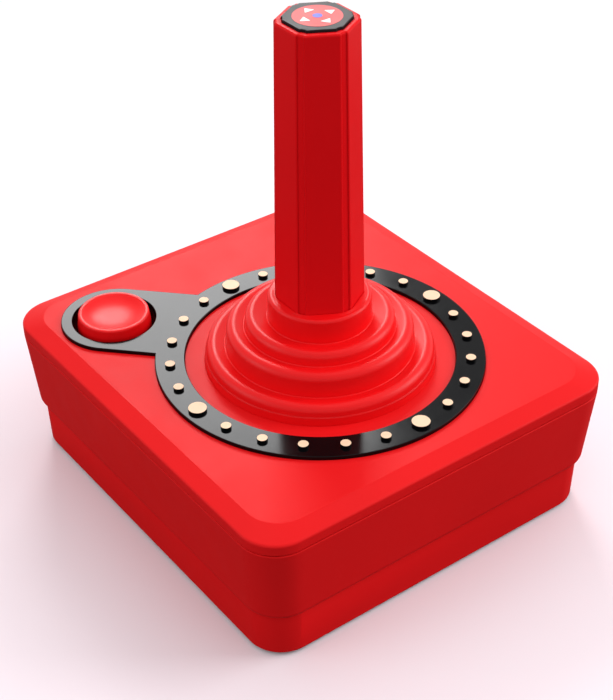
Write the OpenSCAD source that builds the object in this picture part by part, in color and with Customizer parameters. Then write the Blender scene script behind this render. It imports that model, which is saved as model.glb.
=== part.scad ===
// Retro joystick controller: a square red housing on a plinth, a tall six-sided stick in a stepped
// rubber boot, a black ring plate with raised studs and one round fire button at the back left.
// +X is the player's right, +Y points away from the player, +Z is up. The origin is on the surface
// that the feet stand on, under the middle of the housing.

/* [Housing] */
// Width of the housing at its widest, left to right
body_w = 92; // [90:1:112]
// Depth of the housing at its widest, front to back
body_d = 101; // [98:1:122]
// Height of the flat top
top_h = 34.5; // [33:0.5:42]
// Height of the seam between the cover and the side walls
seam_h = 30.5; // [29:0.5:31]
// Height of the step between the side walls and the plinth
step_h = 11.4; // [10.5:0.1:13]
// Outer radius of the upright corners
corner_r = 8.4; // [7:0.1:10]
// Wall thickness of the moulded shells
wall = 2.3; // [2:0.1:2.6]
// Thickness of the flat top
cover_t = 2.3; // [2:0.1:2.8]
// Thickness of the floor of the plinth
floor_t = 2.4; // [2.2:0.1:3]
// How far the side walls lean in from the seam down to the step
side_draft = 1.5; // [0.5:0.1:1.8]
// How far the top of the plinth is set back from the widest outline
plinth_inset = 2.3; // [2.1:0.1:2.6]
// How far the plinth leans in from the step down to the floor
plinth_draft = 0.3; // [0.1:0.1:0.6]
// Width of the shallow sloping band round the flat top
band_w = 3.4; // [2.4:0.1:4]
// Drop of that band
band_drop = 1.3; // [0.8:0.1:1.6]
// Height of the open shadow line at the seam
seam_gap = 0.5; // [0.3:0.1:0.7]

/* [Ring plate] */
// Distance of the stick's axis in front of the housing's middle
stick_back = 6.4; // [4:0.1:8]
// Outer radius of the ring
ring_r = 35.9; // [35.4:0.1:37]
// Inner radius of the ring
ring_in_r = 29.5; // [29:0.1:30]
// Radius of the circle of studs
stud_circle_r = 32.7; // [32.4:0.1:33]
// How far the plate stands above the flat top
plate_proud = 0.7; // [0.4:0.1:1]
// How deep the plate is let into the cover
plate_sunk = 0.8; // [0.6:0.1:1]
// Height of the studs
stud_h = 0.8; // [0.5:0.1:1.2]
// Radius of the large studs
big_stud_r = 1.95; // [1.5:0.05:2.4]
// Radius of the small studs
small_stud_r = 1.1; // [0.8:0.05:1.4]
// Number of studs
stud_n = 24; // [16:4:28]
// Turn of the circle of studs
stud_turn = 2.1; // [0:0.1:5]

/* [Fire button] */
// Distance of the button's axis from the left side
button_from_side = 16.9; // [16.5:0.1:19]
// Distance of the button's axis from the back
button_from_back = 18.5; // [18:0.1:21]
// Radius of the round end of the plate
lobe_r = 11.85; // [11.4:0.05:12.2]
// Radius of the button's well
well_r = 9.4; // [9.2:0.05:9.6]
// Direction in which the plate's arm runs from the button
arm_turn = -46; // [-50:1:-42]
// Radius of the button at the mouth of the well
button_r = 8.3; // [7.8:0.1:8.5]
// Radius of the crest of the button's rim
button_rim_r = 7.4; // [6.8:0.1:7.6]
// Height of the rim above the flat top
button_proud = 2.6; // [1.8:0.1:3.5]
// Depth of the dish in the button
dish_d = 1.1; // [0.5:0.1:1.4]
// Travel of the button
button_travel = 1.5; // [0.8:0.1:2]

/* [Boot] */
// Radius of the boot where it leaves the cover
boot_r = 25.2; // [24:0.1:26]
// Radius of the collar round the stick
collar_r = 11.1; // [11:0.1:12]
// Height of the collar's top above the flat top
collar_h = 16.4; // [15:0.1:20]
// Thickness of the rubber
boot_t = 1.2; // [1:0.1:1.3]

/* [Stick] */
// Height of the top of the stick
stick_h = 113.5; // [100:0.5:137]
// Corner radius of the grip at the boot's collar
grip_r = 9.6; // [9:0.1:9.8]
// Corner radius of the grip at its top
grip_top_r = 8.43; // [7.8:0.01:9]
// Width of the strip that runs down each corner of the grip
strip_w = 1.8; // [1.2:0.1:2.4]
// How deep the strip lies
strip_sunk = 0.25; // [0.1:0.05:0.4]
// Corner radius of the black cap
cap_r = 6.97; // [6:0.01:7.2]
// How far the cap stands above the grip
cap_proud = 0.6; // [0.3:0.1:0.8]
// Height of the two crossing tilt axes
pivot_h = 24; // [23.5:0.1:24.5]
// Tilt of the stick each way
tilt = 10; // [6:1:10]
// Radius of the shaft inside the grip
shaft_r = 4.6; // [4:0.1:5]

/* [Inside] */
// Radius of the pivot pins
pin_r = 1.5; // [1.2:0.1:1.8]
// Thickness of the circuit board
board_t = 1.6; // [1.2:0.1:2]
// Clearance between the floor and the circuit board
board_lift = 1.4; // [1.2:0.1:2]
// Height of a switch dome
dome_h = 0.8; // [0.6:0.1:1]
// Radius of the rubber feet
foot_r = 5; // [4:0.5:5.5]
// How far the feet stand below the plinth
foot_proud = 0.6; // [0.4:0.1:1]
// How deep the feet are let into the plinth
foot_sunk = 1; // [0.6:0.1:1.2]

/* [Fits] */
// Radial clearance of a pin that turns
run_fit = 0.05; // [0.03:0.01:0.1]
// Clearance of a piece that seats in another
seat_fit = 0.1; // [0.05:0.05:0.15]
// Clearance of a screw in its hole
screw_fit = 0.02; // [0.01:0.01:0.04]
// Gap between the rubber boot and the grip
boot_fit = 0.25; // [0.2:0.05:0.3]

/* [Hidden] */
$fn = 64;

red = "#e3151c";
rubber_red = "#ec1c20";
black = "#1b1b1d";
steel = "#b9bcc0";
nylon = "#e9e6dd";

// how fast the outline's corners sharpen with its inset, outside and inside the walls
outer_tight = 0.25;
inner_tight = 0.9;
corner_steps = 16;

// how far joined shapes run into each other, at their ends and across a wall, and an overshoot for cuts
slice = 0.01;
weld = 0.4;
cut = 0.5;

// heights from the floor up
plinth_z = foot_proud;
floor_z = plinth_z + floor_t;
board_z = floor_z + board_lift;
board_top = board_z + board_t;
dome_top = board_top + dome_h;
under_z = top_h - cover_t;
cover_z = seam_h + seam_gap / 2;
body_top = seam_h - seam_gap / 2;
recess_z = top_h - plate_sunk;
plate_top = top_h + plate_proud;

// axes seen from above
stick_y = -stick_back;
button_x = -body_w / 2 + button_from_side;
button_y = body_d / 2 - button_from_back;

// housing screws sit in the corners, clear of the fire button's guide
boss_r = 2.7;
tray_boss_r = 3.4;
boss_in = wall + 5.5;
boss_x = body_w / 2 - boss_in;
boss_y = body_d / 2 - boss_in;
boss_split = step_h + 2.6;
edge_round = 0.9;
plinth_round = 0.6;
crease_w = 0.6;
crease_drop = 0.14;
inner_bevel = 1.8;
lip_t = 1.1;
lip_h = 2;
lip_fit = 0.3;
tongue_in = 0.9;
rib_t = 1.2;
board_post_r = 2.4;
foot_bevel = 0.4;

// fire button and its guide
tube_t = 0.7;
tube_r = well_r + tube_t;
guide_in_r = tube_r + 0.15;
guide_t = 0.85;
guide_r = guide_in_r + guide_t;
tube_z = under_z - 2.9;
flange_t = 1.4;
flange_r = well_r + 0.5;
guide_floor = 16;
guide_floor_t = 1.5;
button_wall = 1.3;
stem_r = 2.2;
stem_tip = dome_top + button_travel + seat_fit;
roof_z = top_h + button_proud - dish_d - button_wall;
spring_r = 4.6;
wire_r = 0.4;
spring_turns = 7;
ear_out = guide_r + 2.9;
ear_r = 2.3;
ear_t = 1.6;
ear_z = under_z - 5.8;
ear_turns = [0, -90];

// boot section, from the cover up to the collar: radius, height above the flat top, rounding
boot_flange_w = 2.2;
boot_flange_t = 0.9;
tiers = [[boot_r - 1.75, 4.6, 1.5], [boot_r - 4.75, 4.05, 0.5], [boot_r - 6.3, 9.3, 1.4],
    [boot_r - 9, 8.8, 0.5], [collar_r + 3.2, 11.35, 1.3], [collar_r + 0.1, 10.8, 0.5]];
collar_z = top_h + collar_h;
neck_h = 5.4;

// pivot frame, gimbal and stick
frame_t = 1.5;
frame_z = under_z - boot_flange_t - 0.2 - frame_t;
frame_in_r = boot_r - 2.4;
frame_out_r = boot_r + boot_flange_w + 1.6;
frame_ear_at = ring_r + 1.6;
frame_ear_r = 2.8;
frame_ear_turns = [30, 150, 210, 330];
gimbal_r = 17;
gimbal_in_r = 13.2;
gimbal_t = 5.6;
eye_r = 3.2;
lug_in = gimbal_r + 1.4;
lug_t = 4;
lug_w = 9;
hub_r = 8.5;
hub_h = 9;
finger_at = 13;
finger_r = 1.5;
touch_gap = 0.15;
// the fingertip just clears its dome when the stick is at its limit
finger_drop = (pivot_h - dome_top - touch_gap - finger_r - finger_at * sin(tilt)) / cos(tilt);
finger_z = pivot_h - finger_drop;
spider_z = finger_z + 2.4;
spider_t = 3;
dome_at = finger_at * cos(tilt) - finger_drop * sin(tilt);
hex_corners = 6;
hex_half = 180 / hex_corners;
grip_z = collar_z - 7.4;
grip_end = stick_h - cap_proud;
grip_taper = (grip_r - grip_top_r) / (grip_end - collar_z);
grip_foot_r = grip_r + grip_taper * (collar_z - grip_z);
// distance of the flats from the axis, at the grip's foot and at its top
grip_foot_flat = flat_at(grip_foot_r, strip_w);
grip_top_flat = flat_at(grip_top_r, strip_w);
grip_bevel = 0.35;
cap_t = 1.6;
cap_strip_w = strip_w * 0.86;
shaft_end = grip_end - 4.6;
key_w = 1.6;
key_reach = shaft_r + 1.1;
neck_flat = grip_foot_flat + boot_fit;

// screws
screw_r = 1.25;
screw_head_r = 2.3;
screw_head_h = 1.6;
small_screw_r = 0.9;
small_head_r = 1.7;
small_head_h = 1.1;
head_seat = plinth_z + 8;
head_room = 0.3;
pass_room = 0.2;
// how far each screw runs into the piece that it holds, and the hole's spare depth
screw_grip = 11;
frame_grip = 2.6;
guide_grip = 3.6;
board_grip = board_lift + 0.6;
hole_spare = 0.3;
board_screw_at = [[-36, -30], [36, -30], [-36, 8], [36, 8]];

// pieces on the circuit board
board_margin = 6.4;
board_notch = 8.6;
socket_w = 8.9;
socket_h = 3.2;
socket_deep = 7.3;
socket_t = 0.35;
socket_x = 0;
battery_size = [30, 24, 5.2];
battery_r = 2;
battery_at = [body_w / 2 - 25, body_d / 2 - 23.5];
pad_t = 0.5;
plug_size = [6, 4, 3.6];
plug_y = battery_at[1] - battery_size[1] / 2 - 7;
lead_r = 0.6;
lead_gap = 2.4;
chip_size = [10, 10, 1.2];
chip_at = [20, -31];
dome_r = 3.6;
foot_at = [body_w / 2 - 15, body_d / 2 - 15];

// shared shapes

// a rectangle with round corners, as true arcs
module rounded(w, d, r) {
    square([w - 2 * r, d], center = true);
    square([w, d - 2 * r], center = true);
    for (x = [-1, 1], y = [-1, 1]) {
        translate([x * (w / 2 - r), y * (d / 2 - r)]) circle(r);
    }
}

// the housing's outline, set in by some amount from its widest; tight is how fast the corners sharpen
module outline(inset, tight = outer_tight) {
    rounded(body_w - 2 * inset, body_d - 2 * inset, corner_r - inset * tight);
}

// the outline at one height as a ring of points, from the middle of the right side round to the left
function outline_ring(inset, z, tight) =
    let (r = corner_r - inset * tight)
    [for (k = [0 : 3], i = [0 : corner_steps]) let (
            a = 90 * (k + i / corner_steps),
            side_x = k == 0 || k == 3 ? 1 : -1,
            side_y = k < 2 ? 1 : -1
        )
        [side_x * (body_w / 2 - inset - r) + r * cos(a), side_y * (body_d / 2 - inset - r) + r * sin(a), z]];

// a solid wrapped round the outline at a list of [inset, height] stations, from the lowest up
module wrap(stations, tight = outer_tight) {
    skin([for (s = stations) each outline_ring(s[0], s[1], tight)], 4 * (corner_steps + 1));
}

// a standing band of the outline between two insets
module band(outer, inner, z0, z1, tight = inner_tight) {
    translate([0, 0, z0]) linear_extrude(z1 - z0) difference() {
        outline(outer, tight);
        outline(inner, inner_tight);
    }
}

// stations round an edge of radius r, centred at [inset, z], from angle a0 to a1
function edge(inset, z, r, a0, a1, steps = 4) =
    [for (i = [0 : steps]) let (a = a0 + (a1 - a0) * i / steps) [inset - r * cos(a), z + r * sin(a)]];

// the points of a path's corner p, rounded by r between its neighbours
function bend(before, p, after, r, steps = 6) =
    let (
        u = (before - p) / norm(before - p),
        v = (after - p) / norm(after - p),
        half = acos(u * v) / 2,
        mid = (u + v) / norm(u + v),
        centre = p + mid * r / sin(half),
        first = p + u * r / tan(half) - centre,
        side = u[0] * v[1] - u[1] * v[0] > 0 ? -1 : 1,
        sweep = 180 - 2 * half
    )
    [for (i = [0 : steps]) let (a = -side * sweep * i / steps)
        centre + [first[0] * cos(a) + first[1] * sin(a), first[1] * cos(a) - first[0] * sin(a)]];

module at_stick(z = 0) {
    translate([0, stick_y, z]) children();
}

module at_button(z = 0) {
    translate([button_x, button_y, z]) children();
}

module at_corners() {
    for (x = [-1, 1], y = [-1, 1]) {
        translate([x * boss_x, y * boss_y]) children();
    }
}

module at_frame_ears() {
    for (a = frame_ear_turns) {
        at_stick() rotate(a) translate([frame_ear_at, 0]) children();
    }
}

module at_guide_ears() {
    for (a = ear_turns) {
        at_button() rotate(a) translate([ear_out, 0]) children();
    }
}

// a tube or disc with a bore
module tube(outer, inner, h) {
    difference() {
        cylinder(r = outer, h = h);
        translate([0, 0, -cut]) cylinder(r = inner, h = h + 2 * cut);
    }
}

// a closed skin over rings of points, each ring with the same number of sides
module skin(points, sides) {
    last = len(points) / sides - 1;
    polyhedron(points, concat(
        [[for (k = [0 : sides - 1]) k]],
        [for (i = [0 : last - 1], k = [0 : sides - 1]) let (next = (k + 1) % sides)
            [i * sides + k, (i + 1) * sides + k, (i + 1) * sides + next, i * sides + next]],
        [[for (k = [sides - 1 : -1 : 0]) last * sides + k]]
    ));
}

// a pan-head screw that points up from its seat
module screw(r, head_r, head_h, length) {
    translate([0, 0, -head_h]) difference() {
        union() {
            cylinder(r = head_r, h = head_h);
            translate([0, 0, head_h - slice]) cylinder(r = r, h = length + slice);
        }
        for (a = [0, 90]) {
            rotate(a) translate([-head_r * 0.6, -0.25, -cut]) cube([head_r * 1.2, 0.5, cut + head_h / 2]);
        }
    }
}

// the plate's outline, grown by a clearance
module plate_shape(grow = 0) {
    difference() {
        union() {
            translate([0, stick_y]) circle(ring_r + grow, $fn = 128);
            translate([button_x, button_y]) {
                circle(lobe_r + grow);
                rotate(arm_turn) translate([0, -lobe_r - grow]) square([stud_circle_r, 2 * (lobe_r + grow)]);
            }
        }
        translate([0, stick_y]) circle(ring_in_r - grow, $fn = 128);
    }
}

// housing

module cover_form() {
    shoulder_z = top_h - band_drop - 0.2;
    wrap(concat(
        [[0, cover_z]],
        edge(edge_round, shoulder_z - edge_round * 0.6, edge_round, 0, 65),
        [[band_w + crease_w / 3, top_h - crease_drop], [band_w + crease_w, top_h]]
    ));
}

module top_cover() {
    color(red) difference() {
        union() {
            difference() {
                cover_form();
                wrap([[wall, cover_z - cut], [wall, under_z - inner_bevel], [wall + inner_bevel, under_z]],
                    inner_tight);
            }
            band(wall + lip_fit, wall + lip_fit + lip_t, cover_z - lip_h, under_z - 1);
            at_corners() translate([0, 0, boss_split]) cylinder(r = boss_r, h = under_z - boss_split + weld);
            at_frame_ears() translate([0, 0, frame_z + frame_t])
                cylinder(r = frame_ear_r, h = under_z - frame_z - frame_t + weld);
            at_guide_ears() translate([0, 0, ear_z + ear_t])
                cylinder(r = ear_r, h = under_z - ear_z - ear_t + weld);
        }
        translate([0, 0, recess_z]) linear_extrude(plate_sunk + cut) plate_shape(seat_fit);
        at_stick(under_z - cut) cylinder(r = boot_r + 0.2, h = cover_t + 2 * cut);
        at_button(under_z - cut) cylinder(r = tube_r + seat_fit, h = cover_t + 2 * cut);
        at_corners() translate([0, 0, boss_split - cut])
            cylinder(r = screw_r + screw_fit, h = cut + screw_grip + 2.5);
        at_frame_ears() translate([0, 0, frame_z])
            cylinder(r = small_screw_r + screw_fit, h = frame_t + frame_grip + hole_spare);
        at_guide_ears() translate([0, 0, ear_z])
            cylinder(r = small_screw_r + screw_fit, h = ear_t + guide_grip + hole_spare);
    }
}

// side walls with an inner tongue that carries the cover and leaves the shadow line open
module housing_body() {
    foot_in = side_draft;
    color(red) union() {
        difference() {
            wrap(concat(
                edge(foot_in + edge_round, step_h + edge_round, edge_round, -80, 0),
                [[0, body_top]]
            ));
            wrap([[foot_in + wall, step_h - cut], [wall, body_top + cut]], inner_tight);
        }
        band(tongue_in, wall, body_top - 1, cover_z, outer_tight);
        for (y = [-1, 1], x = [-0.25, 0.25]) {
            translate([x * body_w - rib_t / 2, y * (body_d / 2 - foot_in - wall) - 1, step_h + lip_h + weld])
                cube([rib_t, 2, body_top - step_h - 2 * lip_h - 2]);
        }
    }
}

module base_tray() {
    top_in = plinth_inset;
    low_in = plinth_inset + plinth_draft;
    lip_out = side_draft + wall + 0.15;
    color(red) difference() {
        union() {
            difference() {
                wrap(concat(
                    edge(low_in + plinth_round, plinth_z + plinth_round, plinth_round, -90, 0),
                    [[top_in, step_h]]
                ));
                wrap([[lip_out + lip_t + plinth_draft, floor_z], [lip_out + lip_t, step_h + cut]],
                    inner_tight);
            }
            band(lip_out, lip_out + lip_t, step_h - 1, step_h + lip_h);
            at_corners() translate([0, 0, floor_z - 1])
                cylinder(r = tray_boss_r, h = boss_split - floor_z + 1);
            for (p = board_screw_at) {
                translate([p[0], p[1], floor_z - 1]) cylinder(r = board_post_r, h = board_lift + 1);
            }
            // low ribs that stiffen the floor
            for (x = [-0.3, -0.1, 0.1, 0.3]) {
                translate([x * body_w - rib_t / 2, -body_d / 2 + board_notch, floor_z - cut])
                    cube([rib_t, body_d - 2 * board_notch, board_lift - 0.4 + cut]);
            }
        }
        at_corners() {
            translate([0, 0, plinth_z - cut])
                cylinder(r = screw_head_r + head_room, h = head_seat - plinth_z + cut);
            cylinder(r = screw_r + pass_room, h = boss_split + cut);
        }
        for (p = board_screw_at) {
            translate([p[0], p[1], board_top - board_grip - board_t - weld])
                cylinder(r = small_screw_r + screw_fit, h = board_top);
        }
        for (x = [-1, 1], y = [-1, 1]) {
            translate([x * foot_at[0], y * foot_at[1], plinth_z - cut])
                cylinder(r = foot_r + seat_fit, h = foot_sunk + cut);
        }
        // mouth of the charging socket in the back wall
        translate([socket_x, body_d / 2 - 8, board_top + socket_h / 2]) rotate([-90, 0, 0])
            linear_extrude(10) rounded(socket_w + 0.4, socket_h + 0.4, socket_h / 2 + 0.1);
    }
}

module foot(x, y) {
    color("#3a3a3c") translate([x * foot_at[0], y * foot_at[1]]) {
        cylinder(r1 = foot_r - foot_bevel, r2 = foot_r, h = foot_bevel);
        translate([0, 0, foot_bevel - slice])
            cylinder(r = foot_r, h = foot_proud + foot_sunk - foot_bevel + slice);
    }
}

module ring_plate() {
    color(black) union() {
        difference() {
            translate([0, 0, recess_z]) linear_extrude(plate_top - recess_z) plate_shape();
            at_button(recess_z - cut) cylinder(r = well_r, h = plate_sunk + plate_proud + 2 * cut);
        }
        at_button(tube_z) tube(tube_r, well_r, recess_z - tube_z + weld);
        at_stick(plate_top - 0.2) for (i = [0 : stud_n - 1]) {
            rotate(stud_turn + i * 360 / stud_n) translate([stud_circle_r, 0])
                cylinder(r = i % (stud_n / 4) == 0 ? big_stud_r : small_stud_r, h = stud_h + 0.2, $fn = 32);
        }
    }
}

// boot

// the outer face from the cover to the collar; the inner face is the same path moved in and down
function boot_path(shift, sign) =
    let (
        start = [boot_r - shift, top_h - shift],
        stop = [collar_r - shift, collar_z - shift],
        corners = concat([start], [for (t = tiers) [t[0] - shift, top_h + t[1] - shift]], [stop])
    )
    concat([start], [for (i = [1 : len(tiers)]) each
        bend(corners[i - 1], corners[i], corners[i + 1],
            tiers[i - 1][2] + (i % 2 == 1 ? -sign : sign) * boot_t / 2)]);

module boot() {
    flange_top = under_z - 0.1;
    outer = boot_path(0, 0.5);
    inner = boot_path(boot_t, 1.5);
    last = len(inner) - 1;
    color(rubber_red) at_stick() difference() {
        rotate_extrude($fn = 96) polygon(concat(
            [[boot_r + boot_flange_w, flange_top - boot_flange_t], [boot_r + boot_flange_w, flange_top],
                [boot_r, flange_top]],
            outer,
            [[collar_r, collar_z - 0.6]],
            bend([collar_r, collar_z - 2], [collar_r, collar_z], [collar_r - 2, collar_z], 0.5),
            [[neck_flat - 0.6, collar_z], [neck_flat - 0.6, collar_z - neck_h],
                [collar_r - boot_t, collar_z - neck_h]],
            [for (i = [last : -1 : 0]) inner[i]],
            [[boot_r - boot_t, flange_top - boot_flange_t]]
        ));
        translate([0, 0, collar_z - neck_h - cut]) intersection() {
            rotate(hex_half) cylinder(r = neck_flat / cos(hex_half), h = neck_h + 2 * cut, $fn = hex_corners);
            cylinder(r = grip_foot_r + boot_fit, h = neck_h + 2 * cut);
        }
    }
}

// pivot

// clamps the boot's flange under the cover and carries the gimbal in two lugs
module pivot_frame() {
    color("#3b3d42") difference() {
        union() {
            at_stick(frame_z) tube(frame_out_r, frame_in_r, frame_t);
            at_frame_ears() translate([0, 0, frame_z]) cylinder(r = frame_ear_r, h = frame_t);
            for (a = frame_ear_turns) {
                at_stick(frame_z) rotate(a) translate([frame_in_r + 1, -frame_ear_r])
                    cube([frame_ear_at - frame_in_r - 1, 2 * frame_ear_r, frame_t]);
            }
            for (s = [-1, 1]) {
                at_stick() {
                    translate([s * (lug_in + lug_t / 2) - lug_t / 2, -lug_w / 2, pivot_h])
                        cube([lug_t, lug_w, frame_z + frame_t - pivot_h]);
                    translate([s * (lug_in + 3.5) - 3.5, -lug_w / 2, frame_z]) cube([7, lug_w, frame_t]);
                    translate([s * (lug_in + lug_t / 2) - lug_t / 2, 0, pivot_h]) rotate([0, 90, 0])
                        cylinder(r = lug_w / 2, h = lug_t);
                }
            }
        }
        at_stick(pivot_h) translate([-lug_in - lug_t - cut, 0]) rotate([0, 90, 0])
            cylinder(r = pin_r + run_fit, h = 2 * (lug_in + lug_t + cut));
        at_frame_ears() translate([0, 0, frame_z - cut])
            cylinder(r = small_screw_r + pass_room, h = frame_t + 2 * cut);
    }
}

module frame_screws() {
    color(steel) at_frame_ears() translate([0, 0, frame_z])
        screw(small_screw_r, small_head_r, small_head_h, frame_t + frame_grip);
}

module gimbal_ring() {
    color(nylon) at_stick(pivot_h) difference() {
        union() {
            translate([0, 0, -gimbal_t / 2]) tube(gimbal_r, gimbal_in_r, gimbal_t);
            for (s = [0, 180]) {
                rotate([0, 90, s]) translate([0, 0, gimbal_in_r + 0.6])
                    cylinder(r = eye_r, h = lug_in - 0.2 - gimbal_in_r - 0.6);
            }
        }
        translate([-lug_in, 0]) rotate([0, 90, 0]) cylinder(r = pin_r + screw_fit, h = 2 * lug_in);
        translate([0, -lug_in]) rotate([-90, 0, 0]) cylinder(r = pin_r + run_fit, h = 2 * lug_in);
    }
}

module gimbal_pins() {
    color(steel) at_stick(pivot_h) for (s = [0, 180]) {
        rotate([0, 90, s]) translate([0, 0, gimbal_in_r + 0.5])
            cylinder(r = pin_r, h = lug_in + lug_t - 0.6 - gimbal_in_r - 0.5);
    }
}

module stick_pins() {
    color(steel) at_stick(pivot_h) for (s = [90, 270]) {
        rotate([0, 90, s]) translate([0, 0, hub_r / 2]) cylinder(r = pin_r, h = gimbal_r - 0.5 - hub_r / 2);
    }
}

// hub, shaft with two keys, and four fingers that press the switch domes
module stick_core() {
    color(nylon) at_stick() difference() {
        union() {
            translate([0, 0, pivot_h - hub_h / 2]) cylinder(r = hub_r, h = hub_h);
            translate([0, -gimbal_in_r + 0.7, pivot_h]) rotate([-90, 0, 0])
                cylinder(r = eye_r, h = 2 * gimbal_in_r - 1.4);
            translate([0, 0, spider_z]) cylinder(r = shaft_r, h = shaft_end - spider_z);
            for (a = [0, 180]) {
                rotate(a) translate([0, -key_w / 2, pivot_h])
                    cube([key_reach, key_w, shaft_end - pivot_h - 1]);
            }
            for (a = [0 : 90 : 270]) {
                rotate(a) {
                    translate([0, -1.8, spider_z]) cube([finger_at, 3.6, spider_t]);
                    translate([finger_at, 0, spider_z]) cylinder(r = 2.2, h = spider_t);
                    translate([finger_at, 0, finger_z]) cylinder(r = finger_r, h = spider_z - finger_z + 1);
                    translate([finger_at, 0, finger_z]) sphere(finger_r);
                }
            }
        }
        translate([0, -lug_in, pivot_h]) rotate([-90, 0, 0]) cylinder(r = pin_r + screw_fit, h = 2 * lug_in);
    }
}

// distance of the flats whose corner strips, w wide, have their edges at radius r
function flat_at(r, w) = sqrt(r * r - w * w / 4) * cos(hex_half) + w / 2 * sin(hex_half);

// what lies outside a plane d from the axis at height z that leans in upwards; it is w wide
module beyond(d, z, lean, w) {
    translate([d, -w / 2, z]) rotate([0, -lean, 0]) translate([0, 0, -stick_h])
        cube([w, w, 2 * stick_h]);
}

function cap_points(r, w) =
    [for (k = [0 : hex_corners - 1], s = [-1, 1]) let (
            a = 30 + k * 360 / hex_corners + s * asin(w / 2 / r)
        ) [r * cos(a), r * sin(a)]];

// a round blank with six leaning flats, a sunken strip down each corner and a bevelled top
module grip_form() {
    blank_r = grip_foot_r + strip_w;
    flat_lean = atan((grip_foot_flat - grip_top_flat) / (grip_end - grip_z));
    strip_d = sqrt(grip_top_r * grip_top_r - strip_w * strip_w / 4) - strip_sunk;
    difference() {
        translate([0, 0, grip_z]) cylinder(r = blank_r, h = grip_end - grip_z);
        for (k = [0 : hex_corners - 1]) {
            rotate(2 * k * hex_half) {
                beyond(grip_top_flat, grip_end, flat_lean, 2 * blank_r);
                beyond(grip_top_flat - grip_bevel, grip_end, 45, 2 * blank_r);
            }
            rotate((2 * k + 1) * hex_half) beyond(strip_d, grip_end, atan(grip_taper), strip_w);
        }
    }
}

module stick_grip() {
    color(red) at_stick() difference() {
        grip_form();
        translate([0, 0, grip_z - cut]) cylinder(r = shaft_r + seat_fit, h = shaft_end - grip_z + cut + 0.4);
        translate([-key_reach - seat_fit, -key_w / 2 - seat_fit, grip_z - cut])
            cube([2 * (key_reach + seat_fit), key_w + 2 * seat_fit, shaft_end - grip_z + cut]);
        translate([0, 0, grip_end - cap_t + cap_proud]) linear_extrude(cap_t)
            polygon(cap_points(cap_r + seat_fit, cap_strip_w));
    }
}

module stick_cap() {
    color(black) at_stick(grip_end - cap_t + cap_proud) linear_extrude(cap_t)
        polygon(cap_points(cap_r, cap_strip_w));
}

// fire button

module fire_button() {
    rim_z = top_h + button_proud;
    // the dish is a shallow arc that passes through its middle and the inside of the rim
    dish_edge = button_rim_r - 0.7;
    dish_r = (dish_edge * dish_edge + dish_d * dish_d) / (2 * dish_d);
    dish_half = asin(dish_edge / dish_r);
    dish = [for (i = [0 : 10]) let (a = dish_half * i / 10)
        [dish_r * sin(a), rim_z - dish_d + dish_r * (1 - cos(a))]];
    flange_top = tube_z - seat_fit;
    color(rubber_red) at_button() {
        rotate_extrude($fn = 96) polygon(concat(
            [[0, stem_tip], [stem_r - 0.6, stem_tip], [stem_r, stem_tip + 0.6], [stem_r, roof_z],
                [button_r - button_wall, roof_z], [button_r - button_wall, flange_top - flange_t],
                [flange_r, flange_top - flange_t], [flange_r, flange_top], [button_r, flange_top]],
            [[button_r, top_h - 0.4]],
            bend([button_r, top_h - 0.4], [button_rim_r + 0.5, rim_z], [dish_edge, rim_z], 0.55),
            [for (i = [10 : -1 : 0]) dish[i]]
        ));
    }
}

module button_spring() {
    foot_z = guide_floor + guide_floor_t + wire_r + seat_fit;
    head_z = roof_z - wire_r - seat_fit;
    sides = 6;
    rings = spring_turns * 20;
    points = [for (i = [0 : rings], k = [0 : sides - 1]) let (
            a = spring_turns * 360 * i / rings,
            b = 360 * k / sides,
            r = spring_r + wire_r * cos(b)
        ) [r * cos(a), r * sin(a), foot_z + (head_z - foot_z) * i / rings + wire_r * sin(b)]];
    color(steel) at_button() skin(points, sides);
}

// cup under the cover that guides the button, carries its spring and keeps it from falling out
module button_guide() {
    color("#3b3d42") difference() {
        union() {
            at_button(guide_floor) cylinder(r = guide_r, h = under_z - guide_floor);
            for (a = ear_turns) {
                at_button(ear_z) rotate(a) translate([guide_in_r + 0.3, -ear_r])
                    cube([ear_out - guide_in_r - 0.3, 2 * ear_r, ear_t]);
            }
            at_guide_ears() translate([0, 0, ear_z]) cylinder(r = ear_r, h = ear_t);
        }
        at_button(guide_floor + guide_floor_t) cylinder(r = guide_in_r, h = under_z);
        at_button(guide_floor - cut) cylinder(r = stem_r + 0.3, h = guide_floor_t + 2 * cut);
        at_guide_ears() translate([0, 0, ear_z - cut])
            cylinder(r = small_screw_r + pass_room, h = ear_t + 2 * cut);
    }
}

module guide_screws() {
    color(steel) at_guide_ears() translate([0, 0, ear_z])
        screw(small_screw_r, small_head_r, small_head_h, ear_t + guide_grip);
}

// electronics

module main_board() {
    w = body_w - 2 * board_margin;
    d = body_d - 2 * board_margin;
    color("#1f6b3a") difference() {
        translate([0, 0, board_z]) linear_extrude(board_t) {
            square([w, d - 2 * board_notch], center = true);
            square([w - 2 * board_notch, d], center = true);
        }
        for (p = board_screw_at) {
            translate([p[0], p[1], board_z - cut])
                cylinder(r = small_screw_r + pass_room, h = board_t + 2 * cut);
        }
    }
}

module controller_chip() {
    color(black) translate([chip_at[0], chip_at[1], board_top + chip_size[2] / 2])
        cube(chip_size, center = true);
}

module dome(x, y) {
    color(steel) translate([x, y, board_top]) cylinder(r1 = dome_r, r2 = dome_r * 0.7, h = dome_h);
}

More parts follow.
